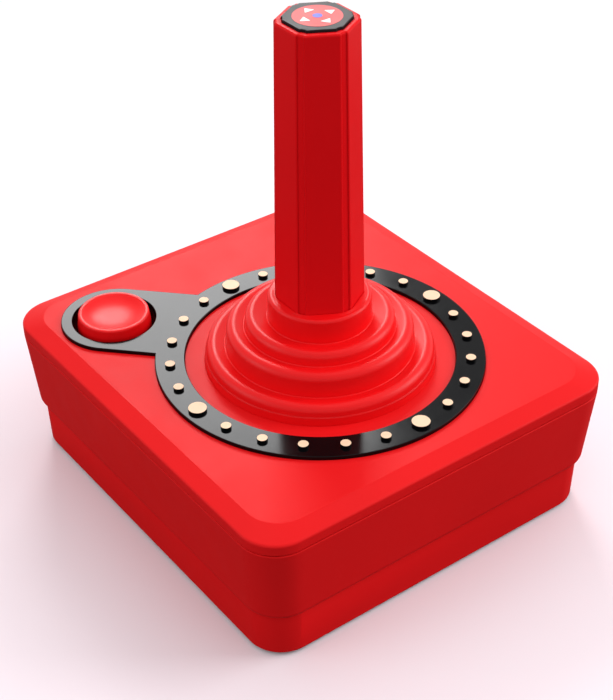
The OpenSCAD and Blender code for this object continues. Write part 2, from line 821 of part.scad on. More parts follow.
// metal shell with a closed back and a tongue inside
module charge_socket() {
    mouth_y = body_d / 2 - plinth_inset - plinth_draft - 0.2;
    color(steel) translate([socket_x, mouth_y - socket_deep, board_top + socket_h / 2])
        rotate([-90, 0, 0]) {
            difference() {
                linear_extrude(socket_deep) rounded(socket_w, socket_h, socket_h / 2 - slice);
                translate([0, 0, 1]) linear_extrude(socket_deep)
                    rounded(socket_w - 2 * socket_t, socket_h - 2 * socket_t,
                        socket_h / 2 - socket_t - slice);
            }
            translate([-socket_w * 0.36, -0.35, 0.5]) cube([socket_w * 0.72, 0.7, socket_deep - 1.6]);
        }
}

module battery() {
    color("#8f959c") translate([battery_at[0], battery_at[1], board_top + pad_t])
        linear_extrude(battery_size[2]) rounded(battery_size[0], battery_size[1], battery_r);
}

module battery_pad() {
    color("#2d2d2f") translate([battery_at[0], battery_at[1], board_top + pad_t / 2])
        cube([battery_size[0] - 6, battery_size[1] - 6, pad_t], center = true);
}

module lead_plug() {
    color(nylon) translate([battery_at[0], plug_y, board_top + plug_size[2] / 2])
        cube(plug_size, center = true);
}

// a lead arches from the battery's front edge to the plug
module lead(x) {
    y0 = battery_at[1] - battery_size[1] / 2;
    y1 = plug_y + plug_size[1] / 2;
    z0 = board_top + pad_t + battery_size[2] / 2;
    z1 = board_top + plug_size[2] / 2;
    sides = 8;
    rings = 12;
    points = [for (i = [0 : rings], k = [0 : sides - 1]) let (
            t = i / rings,
            b = 360 * k / sides,
            rise = 1.2 * sin(180 * t)
        ) [x + lead_r * cos(b), y0 + (y1 - y0) * t, z0 + (z1 - z0) * t + rise + lead_r * sin(b)]];
    skin(points, sides);
}

module housing_screws() {
    color(steel) at_corners() translate([0, 0, head_seat])
        screw(screw_r, screw_head_r, screw_head_h, boss_split + screw_grip - head_seat);
}

module board_screws() {
    color(steel) for (p = board_screw_at) {
        translate([p[0], p[1], board_top]) mirror([0, 0, 1])
            screw(small_screw_r, small_head_r, small_head_h, board_t + board_grip);
    }
}

top_cover();
housing_body();
base_tray();
ring_plate();
boot();
pivot_frame();
frame_screws();
gimbal_ring();
gimbal_pins();
stick_core();
stick_pins();
stick_grip();
stick_cap();
fire_button();
button_spring();
button_guide();
guide_screws();
main_board();
controller_chip();
dome(0, stick_y - dome_at);  // dome_front
dome(0, stick_y + dome_at);  // dome_back
dome(-dome_at, stick_y);  // dome_left
dome(dome_at, stick_y);  // dome_right
dome(button_x, button_y);  // dome_fire
charge_socket();
battery();
battery_pad();
lead_plug();
color("#c8202a") lead(battery_at[0] - lead_gap / 2);  // lead_red
color("#202022") lead(battery_at[0] + lead_gap / 2);  // lead_black
housing_screws();
board_screws();
foot(-1, -1);  // foot_front_left
foot(1, -1);  // foot_front_right
foot(-1, 1);  // foot_back_left
foot(1, 1);  // foot_back_right
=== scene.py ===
import math
import bmesh
import bpy
import numpy as np
from mathutils import Matrix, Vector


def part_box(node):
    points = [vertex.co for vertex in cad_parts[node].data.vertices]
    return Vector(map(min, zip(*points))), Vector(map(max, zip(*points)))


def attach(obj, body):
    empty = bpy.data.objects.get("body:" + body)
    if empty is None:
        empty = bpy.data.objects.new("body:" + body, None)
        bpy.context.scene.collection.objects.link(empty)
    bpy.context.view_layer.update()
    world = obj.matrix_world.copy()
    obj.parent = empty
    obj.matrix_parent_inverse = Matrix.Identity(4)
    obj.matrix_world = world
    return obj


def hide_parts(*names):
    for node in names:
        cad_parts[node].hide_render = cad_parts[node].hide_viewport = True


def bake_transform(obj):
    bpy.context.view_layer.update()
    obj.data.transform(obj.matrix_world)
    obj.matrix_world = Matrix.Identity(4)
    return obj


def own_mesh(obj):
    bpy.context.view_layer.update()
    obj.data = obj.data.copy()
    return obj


# Retro joystick controller. Lengths are millimetres in the code and metres in the meshes.
# +X is the player's right, +Y points away from the player, +Z is up, as in the frame.

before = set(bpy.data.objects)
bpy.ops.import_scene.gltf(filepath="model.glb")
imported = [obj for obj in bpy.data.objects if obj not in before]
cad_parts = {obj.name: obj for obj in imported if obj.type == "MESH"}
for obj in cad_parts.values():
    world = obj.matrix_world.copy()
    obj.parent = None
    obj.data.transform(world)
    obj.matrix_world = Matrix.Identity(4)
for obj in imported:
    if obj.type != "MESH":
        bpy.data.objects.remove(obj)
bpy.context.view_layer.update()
millimetre = 0.001
scene = bpy.context.scene


def nodeBox(node):
    # a CAD node's lowest and highest corner, in millimetres
    return np.array([list(corner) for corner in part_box(node)]) / millimetre


coverLow, coverHigh = nodeBox("top_cover")
gripLow, gripHigh = nodeBox("stick_grip")
topZ = coverHigh[2]                                       # the flat top of the housing
stickAxis = nodeBox("stick_grip").mean(0)[:2]             # seen from above
buttonAxis = nodeBox("fire_button").mean(0)[:2]


# surfaces

def roundPath(corners, steps, hold=0.15, closed=False):
    # Each corner (u, v, radius) becomes an arc that touches both of its sides. The arc's centre lies on
    # the corner's bisector, radius / sin(half the corner's angle) away, and its points turn evenly from
    # one touching point to the other. A point held close outside each end keeps the straight stretches
    # flat.
    corners = np.array(corners, float)
    points, radii = corners[:, :2], corners[:, 2]
    pieces = []
    for i, (here, radius) in enumerate(zip(points, radii)):
        ends = not closed and i in (0, len(points) - 1)
        if ends or radius <= 0:
            pieces.append(here[None])
            continue
        back, ahead = points[i - 1] - here, points[(i + 1) % len(points)] - here
        backLength, aheadLength = np.linalg.norm(back), np.linalg.norm(ahead)
        back, ahead = back / backLength, ahead / aheadLength
        half = math.acos(np.clip(back @ ahead, -1, 1)) / 2
        reach = radius / math.tan(half)
        middle = here + (back + ahead) / np.linalg.norm(back + ahead) * radius / math.sin(half)
        first, last = here + back * reach - middle, here + ahead * reach - middle
        sweep = math.pi - 2 * half
        t = np.linspace(0, 1, steps + 1)[:, None]
        arc = middle + (np.sin((1 - t) * sweep) * first + np.sin(t * sweep) * last) / math.sin(sweep)
        if backLength > reach + hold:
            arc = np.vstack([here + back * (reach + hold), arc])
        if aheadLength > reach + hold:
            arc = np.vstack([arc, here + ahead * (reach + hold)])
        pieces.append(arc)
    return np.vstack(pieces)


def revolve(path, centre, count):
    # Every (radius, height) of the path goes round the centre: x, y = centre + radius * (cos, sin) of the
    # angle.
    angle = np.linspace(0, 2 * math.pi, count, endpoint=False)
    radius, height = path[:, 0, None], path[:, 1, None]
    x, y = centre[0] + radius * np.cos(angle), centre[1] + radius * np.sin(angle)
    return np.stack([x, y, np.broadcast_to(height, x.shape)], -1)


def raised(outline, heights):
    # the flat outline's x and y, once at every height
    return np.stack([np.column_stack([outline, np.full(len(outline), z)]) for z in heights])


def gridFaces(rings, rowsClosed=False, start=0):
    # Quads between neighbouring points of a grid: row i and the next, column j and the next. The columns
    # always close into a ring, and the rows do when asked.
    rows, columns = rings.shape[:2]
    i = np.arange(rows if rowsClosed else rows - 1)[:, None]
    j = np.arange(columns)[None, :]
    nextI, nextJ = (i + 1) % rows, (j + 1) % columns
    corners = [i * columns + j, i * columns + nextJ, nextI * columns + nextJ, nextI * columns + j]
    return start + np.stack(np.broadcast_arrays(*corners), -1).reshape(-1, 4)


def closedFaces(rings, start=0):
    # the grid's quads, then one face over its first ring and one over its last
    rows, columns = rings.shape[:2]
    firstLid = list(range(start, start + columns))[::-1]
    lastLid = list(range(start + (rows - 1) * columns, start + rows * columns))
    return [*gridFaces(rings, start=start), firstLid, lastLid]


def joined(parts):
    # Closed grids as one mesh: their points in a row, their faces counted on from the part before, and
    # for each face the number of its part.
    points, faces, owners, start = [], [], [], 0
    for k, rings in enumerate(parts):
        made = closedFaces(rings, start)
        points.append(rings.reshape(-1, 3))
        faces += made
        owners += [k] * len(made)
        start += len(points[-1])
    return np.vstack(points), faces, np.array(owners)


def smoothFaces(mesh, sharp=35):
    # shades the mesh smooth, apart from edges that turn by more than so many degrees
    mesh.shade_smooth()
    mesh.set_sharp_from_angle(angle=math.radians(sharp))


def placePiece(name, mesh, body, materials, replaces):
    # an object at the origin that rides on its body and stands for its CAD nodes
    piece = bpy.data.objects.new(name, mesh)
    scene.collection.objects.link(piece)
    for material in materials:
        mesh.materials.append(material)
    if body:
        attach(piece, body)
    if replaces:
        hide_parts(*replaces)
    return piece


def addPiece(name, points, faces, body=None, materials=(), replaces=(), sharp=35):
    # a mesh piece from points in millimetres: doubles are merged and normals point outwards
    mesh = bpy.data.meshes.new(name)
    places = (points.reshape(-1, 3) * millimetre).tolist()
    mesh.from_pydata(places, [], [list(map(int, face)) for face in faces])
    shape = bmesh.new()
    shape.from_mesh(mesh)
    bmesh.ops.remove_doubles(shape, verts=shape.verts, dist=1e-7)
    bmesh.ops.dissolve_degenerate(shape, edges=shape.edges, dist=1e-7)
    bmesh.ops.recalc_face_normals(shape, faces=shape.faces)
    shape.to_mesh(mesh)
    shape.free()
    smoothFaces(mesh, sharp)
    return placePiece(name, mesh, body, materials, replaces)


def flattenNormals(piece):
    # large faces keep their own direction, and only the small ones of an edge turn
    weighted = piece.modifiers.new("flatFaces", "WEIGHTED_NORMAL")
    weighted.mode = "FACE_AREA"
    weighted.weight = 80
    weighted.keep_sharp = True


def prism(name, outline, low, high):
    # an upright solid: the outline at its low and its high end, with a lid on each
    rings = raised(outline, (low, high))
    return addPiece(name, rings, closedFaces(rings))


def disc(name, centre, radius, low, high, count):
    # an upright cylinder: the prism over a circle of so many points
    return prism(name, revolve(np.array([[radius, 0.0]]), centre, count)[0, :, :2], low, high)


def borer(name, centre, radius, low, high, edge, count, past=1):
    # A round cutter, up to the height where it leaves the piece less the edge, and then wider by the
    # edge at that height, so that it bevels the hole's rim.
    wide = radius + edge
    path = np.array([(radius, low - past), (radius, high - edge), (wide, high), (wide, high + past)])
    rings = revolve(path, centre, count)
    return addPiece(name, rings, closedFaces(rings))


def cutWith(piece, cutters, operation="DIFFERENCE"):
    # subtracts each cutter from the piece, or joins it on, and then removes the cutter
    for cutter in cutters:
        boolean = piece.modifiers.new("cut", "BOOLEAN")
        boolean.operation = operation
        boolean.solver = "EXACT"
        boolean.object = cutter
        with bpy.context.temp_override(object=piece, active_object=piece, selected_objects=[piece]):
            bpy.ops.object.modifier_apply(modifier=boolean.name)
        bpy.data.objects.remove(cutter)
    smoothFaces(piece.data)


# materials

def newMaterial(name):
    # a material with nodes, and what is needed to build on it
    material = bpy.data.materials.new(name)
    material.use_nodes = True
    nodes = material.node_tree.nodes
    return material, nodes, material.node_tree.links, nodes["Principled BSDF"]


def noiseNode(nodes, links, source, scale, detail):
    # noise on the source's coordinates, its scale in features per metre
    node = nodes.new("ShaderNodeTexNoise")
    node.inputs["Scale"].default_value = scale
    node.inputs["Detail"].default_value = detail
    links.new(source, node.inputs["Vector"])
    return node.outputs["Fac"]


def rangeNode(nodes, links, source, low, high, fromLow=0.3, fromHigh=0.7):
    # what runs between fromLow and fromHigh comes out between low and high; noise fills 0.3 to 0.7
    node = nodes.new("ShaderNodeMapRange")
    sockets = {"From Min": fromLow, "From Max": fromHigh, "To Min": low, "To Max": high}
    for socket, value in sockets.items():
        node.inputs[socket].default_value = value
    links.new(source, node.inputs["Value"])
    return node.outputs["Result"]


def mathNode(nodes, links, operation, first, second, clamp=False):
    # the operation on two outputs of other nodes
    node = nodes.new("ShaderNodeMath")
    node.operation = operation
    node.use_clamp = clamp
    links.new(first, node.inputs[0])
    links.new(second, node.inputs[1])
    return node.outputs["Value"]


# what a finish has unless it says otherwise
moulding = {
    "metallic": 0,
    "ior": 1.5,
    "specular": 0.5,
    "coat": 0,
    "coatRoughness": 0.1,
    "tint": 0.93,                # the darker tone's share of the colour
    "tintScale": 28,             # features per metre
    "tintDetail": 3,
    "spread": 0.03,              # how far the roughness goes up and down
    "handledScale": 160,
    "handledDetail": 5,
    "grain": 0.12,
    "grainDepth": 0.02,
    "grainScale": 2600,
    "grainDetail": 2,
}

finishes = {
    "housingRed": {"colour": (0.80, 0.007, 0.009), "roughness": 0.44, "specular": 0.11},
    "gripRed": {"colour": (0.80, 0.005, 0.008), "roughness": 0.34, "specular": 0.06, "grain": 0.06},
    "rubberRed": {"colour": (0.84, 0.004, 0.006), "roughness": 0.36, "specular": 0.22, "grain": 0.05},
    "buttonRed": {"colour": (0.84, 0.003, 0.005), "roughness": 0.34, "specular": 0.22, "grain": 0.03,
                  "spread": 0.01},
    "plateBlack": {"colour": (0.002, 0.0022, 0.0028), "roughness": 0.13, "specular": 0.145,
                   "grain": 0.02, "spread": 0.02},
    "capBlack": {"colour": (0.012, 0.012, 0.014), "roughness": 0.35, "specular": 0.12, "grain": 0.05},
    "studTop": {"colour": (0.93, 0.66, 0.45), "roughness": 0.45, "specular": 0.18, "grain": 0.1},
    "inkRed": {"colour": (0.80, 0.02, 0.02), "roughness": 0.4, "specular": 0.30, "grain": 0.05},
    "inkWhite": {"colour": (0.88, 0.88, 0.88), "roughness": 0.4, "specular": 0.30, "grain": 0.05},
    "inkBlue": {"colour": (0.08, 0.10, 0.70), "roughness": 0.4, "specular": 0.30, "grain": 0.05},
    "footRubber": {"colour": (0.03, 0.03, 0.032), "roughness": 0.75, "grain": 0.5},
    "greyPlastic": {"colour": (0.045, 0.047, 0.052), "roughness": 0.5, "grain": 0.2},
    "nylon": {"colour": (0.78, 0.75, 0.68), "roughness": 0.42, "grain": 0.08},
    "steel": {"colour": (0.56, 0.57, 0.59), "roughness": 0.28, "metallic": 1, "spread": 0.08},
    "boardGreen": {"colour": (0.015, 0.14, 0.05), "roughness": 0.3, "grain": 0.1, "coat": 0.4},
    "chipBlack": {"colour": (0.02, 0.02, 0.022), "roughness": 0.55, "grain": 0.2},
    "cellFoil": {"colour": (0.45, 0.47, 0.5), "roughness": 0.3, "metallic": 0.8, "spread": 0.08},
    "foam": {"colour": (0.03, 0.03, 0.035), "roughness": 0.95, "grain": 0.9, "grainScale": 1200},
    "leadRed": {"colour": (0.5, 0.01, 0.015), "roughness": 0.45, "grain": 0.05},
    "leadBlack": {"colour": (0.015, 0.015, 0.017), "roughness": 0.45, "grain": 0.05},
}


def mouldedMaterial(name, look):
    # Noise on Object coordinates at three sizes: the widest goes from the colour to a slightly darker
    # one, the middle one takes the roughness up and down by the spread, as handling does, and the finest
    # lifts the surface like a tool's spark finish.
    look = {**moulding, **look}
    material, nodes, links, shader = newMaterial(name)
    place = nodes.new("ShaderNodeTexCoord").outputs["Object"]
    tint = nodes.new("ShaderNodeMix")
    tint.data_type = "RGBA"
    tint.inputs["A"].default_value = (*look["colour"], 1)
    tint.inputs["B"].default_value = (*[c * look["tint"] for c in look["colour"]], 1)
    wide = noiseNode(nodes, links, place, look["tintScale"], look["tintDetail"])
    links.new(rangeNode(nodes, links, wide, 0, 1), tint.inputs["Factor"])
    links.new(tint.outputs["Result"], shader.inputs["Base Color"])
    handled = noiseNode(nodes, links, place, look["handledScale"], look["handledDetail"])
    smoother, rougher = look["roughness"] - look["spread"], look["roughness"] + look["spread"]
    links.new(rangeNode(nodes, links, handled, smoother, rougher), shader.inputs["Roughness"])
    sockets = {"Metallic": "metallic", "IOR": "ior", "Specular IOR Level": "specular",
               "Coat Weight": "coat", "Coat Roughness": "coatRoughness"}
    for socket, key in sockets.items():
        shader.inputs[socket].default_value = look[key]
    bump = nodes.new("ShaderNodeBump")
    bump.inputs["Strength"].default_value = look["grain"]
    bump.inputs["Distance"].default_value = look["grainDepth"] * millimetre
    grain = noiseNode(nodes, links, place, look["grainScale"], look["grainDetail"])
    links.new(grain, bump.inputs["Height"])
    links.new(bump.outputs["Normal"], shader.inputs["Normal"])
    return material


paint = {name: mouldedMaterial(name, look) for name, look in finishes.items()}
print("materials made:", len(paint))


# housing

housing = {
    "halfSize": (coverHigh[:2] - coverLow[:2]) / 2,
    "cornerRadius": 8.4,
    "sharpening": 0.25,          # how fast the corners sharpen with the inset
    "wall": 2.3,
    "seamZ": 30.5,
    "seamGap": 0.3,
    "arcSteps": 18,
    "slide": 0.6,                # the point next to each arc lies this far along the straight side
}


def outlineRings(path):
    # A rounded rectangle for every (inset, height). A point is a corner's centre plus the corner's
    # radius along its angle, and the two points next to each arc slide a little way along the straight
    # side.
    steps = housing["arcSteps"]
    angle = np.concatenate([[0], np.linspace(0, math.pi / 2, steps + 1), [math.pi / 2]])
    slide = np.concatenate([[-housing["slide"]], np.zeros(steps + 1), [housing["slide"]]])
    quarter = np.arange(4) * math.pi / 2
    diagonal = np.stack([np.cos(quarter + math.pi / 4), np.sin(quarter + math.pi / 4)], -1)
    side = np.repeat(np.sign(diagonal), len(angle), axis=0)
    angle = (angle + quarter[:, None]).ravel()
    slide = np.tile(slide, 4)
    inset, height = path[:, 0, None, None], path[:, 1, None]
    radius = housing["cornerRadius"] - housing["sharpening"] * inset
    outward = np.stack([np.cos(angle), np.sin(angle)], -1)
    along = np.stack([-np.sin(angle), np.cos(angle)], -1)
    flat = side * (housing["halfSize"] - inset - radius) + radius * outward + slide[:, None] * along
    return np.dstack([flat, np.broadcast_to(height, flat.shape[:2])])


cover = {
    "bandWidth": 3.85,           # the sloping band round the flat top
    "bandDrop": 1.45,
    "shoulderRadius": 0.6,
    "creaseRadius": 0.6,
    "thickness": 2.3,
    "rimRadius": 0.12,
    "lipFrom": 0.3,              # the lip's two faces, this far inside the walls' inner face
    "lipTo": 1.4,
    "lipHeight": 2,
    "lipRadius": 0.2,
    "coveDrop": 0.7,             # the slope from the lip up to the underside
    "coveWidth": 1.5,
    "coveRadius": 0.5,
    "lidInset": 14,              # the flat lids start this far in
    "past": 1,                   # how far a cutter runs on past what it cuts
}


def makeCover():
    # The outside goes from the flat top over the band and the shoulder down to the seam, and the inside
    # back up the lip. Cutters open the plate's recess, a ring that leaves its middle standing, and the
    # holes for the boot and the button's well.
    h, c, p = housing, cover, plate
    seam, under = h["seamZ"] + h["seamGap"] / 2, topZ - c["thickness"]
    lipOut, lipIn = h["wall"] + c["lipFrom"], h["wall"] + c["lipTo"]
    corners = [
        (c["lidInset"], topZ, 0),
        (c["bandWidth"], topZ, c["creaseRadius"]),
        (0, topZ - c["bandDrop"], c["shoulderRadius"]),
        (0, seam, c["rimRadius"]),
        (lipOut, seam, 0),
        (lipOut, seam - c["lipHeight"], c["lipRadius"]),
        (lipIn, seam - c["lipHeight"], c["lipRadius"]),
        (lipIn, under - c["coveDrop"], c["coveRadius"]),
        (lipIn + c["coveWidth"], under, c["coveRadius"]),
        (c["lidInset"], under, 0),
    ]
    rings = outlineRings(roundPath(corners, steps=7))
    shell = addPiece("topShell", rings, closedFaces(rings), "base", [paint["housingRed"]], ["top_cover"])
    past = c["past"]
    deep, high = under - past, topZ + 2 * past
    recess = prism("recessCut", plateOutline(p["clearance"]), topZ - p["sunk"], high)
    cutWith(recess, [disc("insideRing", stickAxis, p["ringInner"] - p["clearance"], topZ - 2 * past,
                          high + past, p["ringSides"])])
    well = p["wellRadius"] + p["wellWall"] + p["clearance"]
    cutWith(shell, [
        recess,
        disc("bootHole", stickAxis, boot["foot"] + boot["footGap"], deep, high, boot["sides"]),
        disc("wellCut", buttonAxis, well, deep, high, p["wellSides"]),
    ])
    flattenNormals(shell)


walls = {
    "stepZ": 11.4,
    "drafted": 1.5,              # how far the walls lean in down to the step
    "lowerRadius": 1.5,
    "innerRadius": 0.2,
    "rimRadius": 0.18,
    "uprightFrom": 1,            # the inner face stands upright from this far below the rim
    "tongueInset": 0.9,          # the tongue that stands up inside the seam
    "tongueHeight": 0.5,
    "tongueRadius": 0.1,
    "tongueRoot": 0.08,
}


def makeWalls():
    # a closed profile: from the tongue's root over the rim, down the leaning side, and up inside
    h, w = housing, walls
    top, step, lean = h["seamZ"] - h["seamGap"] / 2, w["stepZ"], w["drafted"]
    corners = [
        (w["tongueInset"], top, w["tongueRoot"]),
        (0, top, w["rimRadius"]),
        (lean, step, w["lowerRadius"]),
        (lean + h["wall"], step, w["innerRadius"]),
        (h["wall"], top - w["uprightFrom"], 0),
        (h["wall"], top + w["tongueHeight"], w["tongueRadius"]),
        (w["tongueInset"], top + w["tongueHeight"], w["tongueRadius"]),
    ]
    rings = outlineRings(roundPath(corners, steps=7, closed=True))
    shell = addPiece("wallShell", rings, gridFaces(rings, rowsClosed=True), "base",
                     [paint["housingRed"]], ["housing_body"])
    flattenNormals(shell)


def smoothCopy(name, node, body, material):
    # a merged copy of a CAD node whose rounded edges shade smoothly
    shape = bmesh.new()
    shape.from_mesh(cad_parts[node].data)
    bmesh.ops.remove_doubles(shape, verts=shape.verts, dist=2e-6)
    mesh = bpy.data.meshes.new(name)
    shape.to_mesh(mesh)
    shape.free()
    smoothFaces(mesh, sharp=32)
    mesh.materials.clear()
    flattenNormals(placePiece(name, mesh, body, [material], [node]))


# ring plate and its studs

plate = {
    "ringRadius": 35.9,
    "ringInner": 29.5,
    "lobeRadius": 11.85,
    "armTurn": math.radians(-46),  # the arm's direction, from the button to the stick
    "sunk": 0.8,
    "proud": 0.8,
    "edge": 0.12,
    "clearance": 0.1,            # between the plate and the cover
    "wellRadius": 9.4,           # the tube that the button moves in
    "wellWall": 0.7,
    "wellFoot": 29.3,
    "wellOverlap": 0.3,
    "ringSteps": 220,
    "lobeSteps": 72,
    "ringSides": 200,
    "wellSides": 96,
}


def plateOutline(grow):
    # The ring's arc, then a straight side to the lobe, the lobe's half circle, and the other side back.
    # The sides run along the arm's direction, one lobe radius from its middle line, and meet the ring
    # where (stick - button) across the arm and the ring's radius give the distance along it. All of it
    # grows outwards by the same amount.
    ring, lobe = plate["ringRadius"] + grow, plate["lobeRadius"] + grow
    arm = np.array([math.cos(plate["armTurn"]), math.sin(plate["armTurn"])])
    across = np.array([-arm[1], arm[0]])
    toStick = stickAxis - buttonAxis
    meets = []
    for side in (1, -1):
        offset = side * lobe - toStick @ across
        ahead = toStick @ arm - math.sqrt(ring ** 2 - offset ** 2)
        meets.append(buttonAxis + arm * ahead + across * side * lobe)
    begin, end = [math.atan2(*(meet - stickAxis)[::-1]) for meet in meets]
    if begin < end:
        begin += 2 * math.pi
    # clockwise round the ring, from the arm's left side to its right side, and on round the lobe
    sweep = np.linspace(begin, end, plate["ringSteps"])[:, None]
    ringArc = stickAxis + ring * np.hstack([np.cos(sweep), np.sin(sweep)])
    lobeAngle = plate["armTurn"] - math.pi / 2 - np.linspace(0, math.pi, plate["lobeSteps"])[:, None]
    lobeArc = buttonAxis + lobe * np.hstack([np.cos(lobeAngle), np.sin(lobeAngle)])
    return np.vstack([ringArc, lobeArc])


def makePlate():
    # The outline, grown by the path's first number at the height of its second, goes up from the recess
    # to its rounded top edge; the path's last corner only gives that edge its direction. A tube for the
    # button is joined on below, and two round cutters open the ring and the well.
    p = plate
    top, low, edge = topZ + p["proud"], topZ - p["sunk"], p["edge"]
    path = roundPath([(0, low, 0), (0, top, edge), (-1, top, 0)], steps=3, hold=0.02)[:-1]
    rings = np.concatenate([raised(plateOutline(grow), [z]) for grow, z in path])
    piece = addPiece("keyholePlate", rings, closedFaces(rings), "base", [paint["plateBlack"]],
                     ["ring_plate"])
    tube = disc("wellTube", buttonAxis, p["wellRadius"] + p["wellWall"], p["wellFoot"],
                low + p["wellOverlap"], p["wellSides"])
    cutWith(piece, [tube], "UNION")
    cutWith(piece, [
        borer("ringBore", stickAxis, p["ringInner"], low, top, edge, p["ringSides"]),
        borer("wellBore", buttonAxis, p["wellRadius"], p["wellFoot"], top, edge, p["wellSides"]),
    ])
    flattenNormals(piece)


studs = {
    "count": 24,
    "largeCount": 4,
    "circle": 32.7,
    "turn": math.radians(2.1),
    "height": 0.7,
    "root": 0.1,                 # how deep they stand in the plate
    "large": 1.95,
    "small": 1.1,
    "edge": 0.05,
    "sides": 40,
}


def makeStuds():
    # One upright profile goes round every stud's own middle, and the middles lie at equal angles on the
    # circle. Its last corner only gives the rounded edge its direction. Faces above the middle of that
    # edge are painted.
    s = studs
    low, high = topZ + plate["proud"] - s["root"], topZ + plate["proud"] + s["height"]
    place = s["turn"] + np.arange(s["count"]) * 2 * math.pi / s["count"]
    middles = stickAxis + s["circle"] * np.stack([np.cos(place), np.sin(place)], -1)
    parts = []
    for k, middle in enumerate(middles):
        radius = s["large"] if k % (s["count"] // s["largeCount"]) == 0 else s["small"]
        path = roundPath([(radius, low, 0), (radius, high, s["edge"]), (0, high, 0)], steps=3, hold=0.03)
        parts.append(revolve(path[:-1], middle, s["sides"]))
    points, faces, _ = joined(parts)
    piece = addPiece("studs", points, faces, "base", [paint["plateBlack"], paint["studTop"]],
                     ["ring_plate"])
    centres = np.zeros(len(piece.data.polygons) * 3)
    piece.data.polygons.foreach_get("center", centres)
    painted = centres.reshape(-1, 3)[:, 2] > (high - s["edge"] / 2) * millimetre
    piece.data.polygons.foreach_set("material_index", painted.astype(np.int32))


# grip and its cap

grip = {
    "footZ": gripLow[2],
    "topZ": gripHigh[2],
    "footRadius": 9.74,          # from the axis to the strips' edges, at the foot
    "topRadius": 8.43,
    "stripWidth": 1.8,
    "stripSunk": 0.34,
    "stripSlant": 0.24,
    "stripEdge": 0.38,
    "stripRadius": 0.1,
    "bevel": 0.5,
    "socketShare": 0.84,         # the cap's socket, as a share of the grip's top
    "socketEdge": 0.12,
    "socketDepth": 1,
    "bore": 4.7,
    "boreTop": 108.7,
}
# from the axis to the flats, at the foot: a strip's edge, seen along the flat's own direction
grip["footFlat"] = (math.sqrt(grip["footRadius"] ** 2 - grip["stripWidth"] ** 2 / 4)
                    * math.cos(math.pi / 6) + grip["stripWidth"] / 2 * math.sin(math.pi / 6))


def gripSection():
    # Six flats and six sunken strips at the foot's size: a strip's four corners lie at its edges and,
    # sunk a little, just inside them, and each corner is rounded.
    g = grip
    w, sunk, slant, edge = g["stripWidth"] / 2, g["stripSunk"], g["stripSlant"], g["stripEdge"]
    u = math.sqrt(g["footRadius"] ** 2 - w ** 2)
    local = np.array([
        (u, -w, edge),
        (u - sunk, -w + slant, g["stripRadius"]),
        (u - sunk, w - slant, g["stripRadius"]),
        (u, w, edge),
    ])
    turn = math.pi / 6 + np.arange(6)[:, None] * math.pi / 3
    x = local[:, 0] * np.cos(turn) - local[:, 1] * np.sin(turn)
    y = local[:, 0] * np.sin(turn) + local[:, 1] * np.cos(turn)
    corners = np.stack([x, y, np.broadcast_to(local[:, 2], x.shape)], -1).reshape(-1, 3)
    return roundPath(corners, steps=5, hold=0.12, closed=True)


def sectionRings(path, section):
    # the section, scaled by each path point's first number, at the height of its second
    flat = stickAxis + path[:, 0, None, None] * section
    return np.dstack([flat, np.broadcast_to(path[:, 1, None], flat.shape[:2])])


def makeSleeve():
    # The section goes down the bore, up the tapered outside, over the bevel and down into the cap's
    # socket. The outside is scaled by its radius over the foot's, and the bore is a circle.
    g = grip
    section = gripSection()
    foot, top, socket = g["footRadius"], g["topRadius"], g["socketShare"] * g["topRadius"]
    corners = [
        (foot, g["footZ"], 0),
        (top, g["topZ"], g["bevel"]),
        (socket, g["topZ"], g["socketEdge"]),
        (socket, g["topZ"] - g["socketDepth"], 0),
    ]
    outer = roundPath(corners, steps=7, hold=0.15) / (foot, 1)
    circle = section / np.linalg.norm(section, axis=1)[:, None]
    bore = np.array([(g["bore"], g["boreTop"]), (g["bore"], g["footZ"])])
    rings = np.concatenate([sectionRings(bore, circle), sectionRings(outer, section)])
    sleeve = addPiece("stickSleeve", rings, closedFaces(rings), "stick", [paint["gripRed"]],
                      ["stick_grip"], sharp=40)
    flattenNormals(sleeve)


cap = {
    "radius": 6.97,
    "proud": 0.6,
    "depth": 1.6,
    "edge": 0.1,
    "lidRadius": 4,
    "fieldRadius": 4.9,          # the mark: a field, four arrowheads and a dot
    "arrowAt": 3.3,
    "arrowLength": 1.7,
    "arrowWidth": 2.3,
    "arrowRadius": 0.12,
    "dotRadius": 0.95,
    "ink": 0.03,
    "inkRoot": 0.01,
    "sides": 96,
}
# the ink lies in two coats, and the upper one stays below the CAD's highest point
cap["topZ"] = grip["topZ"] + cap["proud"] - 2 * cap["ink"]


def makeCap():
    # the grip's section, scaled by the cap's radius over the grip's at the foot, up to a rounded edge
    c, foot = cap, grip["footRadius"]
    corners = [
        (c["radius"], c["topZ"] - c["depth"], 0),
        (c["radius"], c["topZ"], c["edge"]),
        (c["lidRadius"], c["topZ"], 0),
    ]
    rings = sectionRings(roundPath(corners, steps=3, hold=0.05) / (foot, 1), gripSection())
    piece = addPiece("stickPlate", rings, closedFaces(rings), "stick", [paint["capBlack"]],
                     ["stick_cap"], sharp=40)
    flattenNormals(piece)


